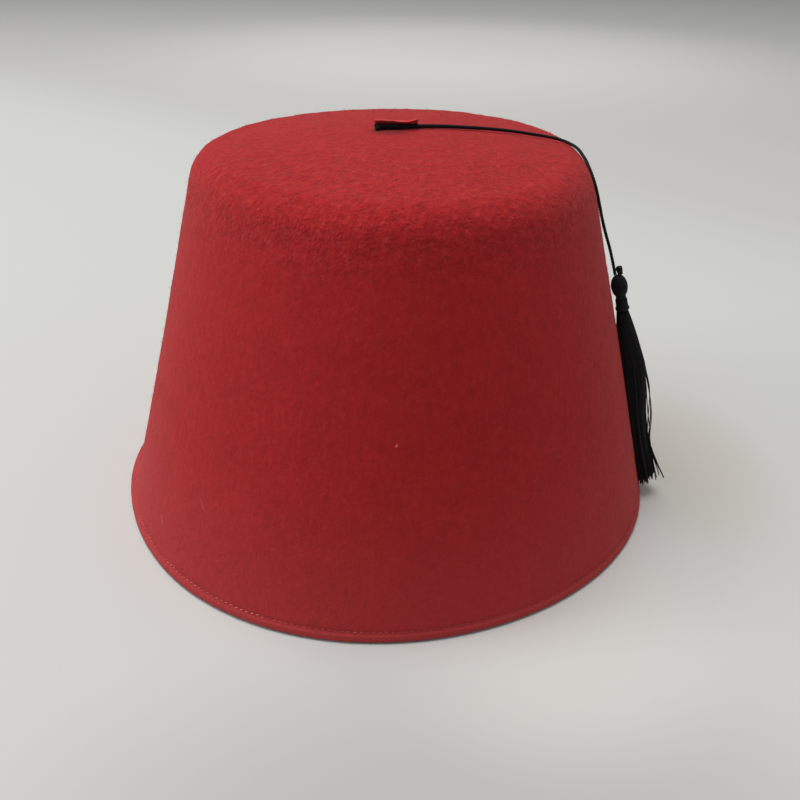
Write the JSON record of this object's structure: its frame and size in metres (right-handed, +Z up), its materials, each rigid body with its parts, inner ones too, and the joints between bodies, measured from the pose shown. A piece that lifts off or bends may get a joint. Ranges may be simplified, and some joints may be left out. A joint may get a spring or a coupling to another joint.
{
  "type": "fez hat",
  "caption": "Red felt fez: a tapered, flat-topped crown with a pressed hem, a felt tab on top, and a black cord that runs over the shoulder to a silky tassel on the side.",
  "frame": {"origin": "middle of the rim's footprint, on the surface that the hat stands on", "axes": "+Z up out of the top, +X to the side where the tassel hangs, -Y to the front"},
  "size_m": [0.1973, 0.1908, 0.1287],
  "materials": {
    "red_felt": "matte wool felt",
    "black_thread": "twisted and loose thread with a soft sheen"
  },
  "bodies": {
    "root": {"felt_crown": "red_felt", "centre_tab": "red_felt", "tassel_cord": "black_thread", "tassel_knot": "black_thread", "tassel": "black_thread", "tassel_binding": "black_thread"}
  },
  "joints": []
}
